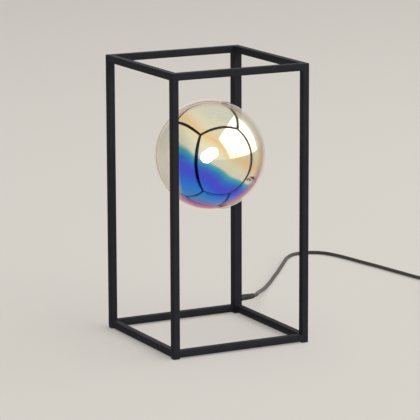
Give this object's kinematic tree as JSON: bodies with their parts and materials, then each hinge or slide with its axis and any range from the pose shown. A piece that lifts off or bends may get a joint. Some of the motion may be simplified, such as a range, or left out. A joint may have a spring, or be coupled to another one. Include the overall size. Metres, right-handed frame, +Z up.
{
  "type": "glass orb table lamp",
  "caption": "Table lamp: a mirror-coated glass globe on a short arm inside a tall open cage of square tube, with an inline switch and plug on its cord.",
  "frame": {"origin": "on the table, under the middle of the cage", "axes": "+Z up; the cage's sides lie along X and Y, with -Y the front; the cord leaves the rear right upright towards +X"},
  "size_m": [0.543, 0.5083, 0.375],
  "materials": {
    "powder_coat": "satin near-black powder coat on steel tube",
    "coated_glass": "blown clear glass with a thin iridescent mirror coat",
    "clear_glass": "clear lamp glass",
    "steel": "zinc-plated steel",
    "brass": "rolled brass strip",
    "ceramic": "unglazed white steatite",
    "led_board": "phosphor-coated board",
    "black_plastic": "moulded, fine satin grain",
    "cord_sheath": "extruded soft sheath, satin",
    "silicone": "matt translucent silicone",
    "brown_core": "brown core insulation",
    "blue_core": "blue core insulation"
  },
  "bodies": {
    "lamp": {"front_left_upright": "powder_coat", "front_right_upright": "powder_coat", "rear_left_upright": "powder_coat", "rear_right_upright": "powder_coat", "bottom_front_rail": "powder_coat", "bottom_rear_rail": "powder_coat", "bottom_left_rail": "powder_coat", "bottom_right_rail": "powder_coat", "top_front_rail": "powder_coat", "top_rear_rail": "powder_coat", "top_left_rail": "powder_coat", "top_right_rail": "powder_coat", "front_left_foot_plug": "black_plastic", "front_right_foot_plug": "black_plastic", "rear_left_foot_plug": "black_plastic", "rear_right_foot_plug": "black_plastic", "thread_collar": "black_plastic", "globe_cup": "powder_coat", "cup_washer": "steel", "cup_nut": "steel", "threaded_nipple": "steel", "holder_lock_nut": "steel", "globe_arm": "powder_coat", "lampholder_body": "ceramic", "lampholder_bracket": "steel", "left_contact_clip": "brass", "right_contact_clip": "brass", "left_holder_screw": "steel", "right_holder_screw": "steel", "live_core": "brown_core", "neutral_core": "blue_core", "insulating_sleeve": "silicone", "cord_bush": "black_plastic", "cord_from_lamp": "cord_sheath", "switch_lower_shell": "black_plastic", "switch_upper_shell": "black_plastic", "rocker_pin": "steel", "switch_first_screw": "steel", "switch_second_screw": "steel", "switch_first_terminal": "brass", "switch_second_terminal": "brass", "switch_first_boot": "black_plastic", "switch_second_boot": "black_plastic", "cord_from_switch": "cord_sheath", "cord_coil": "cord_sheath", "coil_tie": "black_plastic", "cord_to_plug": "cord_sheath", "plug_body": "black_plastic", "left_plug_pin": "steel", "right_plug_pin": "steel"},
    "gasket": {"neck_gasket": "silicone"},
    "globe": {"glass_globe": "coated_glass"},
    "bulb": {"bulb_envelope": "clear_glass", "bulb_base": "ceramic", "bulb_led_column": "led_board", "left_bulb_pin": "steel", "right_bulb_pin": "steel"},
    "rocker": {"switch_rocker": "black_plastic"}
  },
  "joints": [
    {"name": "globe_travel", "type": "slide", "parent": "lamp", "child": "gasket", "axis": [-0.6741, -0.7386, 0], "range_m": [0, 0.00565]},
    {"name": "globe_unscrew", "type": "hinge", "parent": "gasket", "child": "globe", "pos_m": [0, -0.009, 0.2475], "axis": [-0.6741, -0.7386, 0], "range_deg": [0, 450]},
    {"name": "bulb_pull", "type": "slide", "parent": "lamp", "child": "bulb", "axis": [-0.6741, -0.7386, 0], "range_m": [0, 0.015]},
    {"name": "rocker_tilt", "type": "hinge", "parent": "lamp", "child": "rocker", "pos_m": [0.43, 0.038, 0.0135], "axis": [1, 0, 0], "range_deg": [0, 18]}
  ],
  "couplings": [
    {"joint": "globe_travel", "follows": "globe_unscrew", "m_per_rad": 0.0007162}
  ]
}
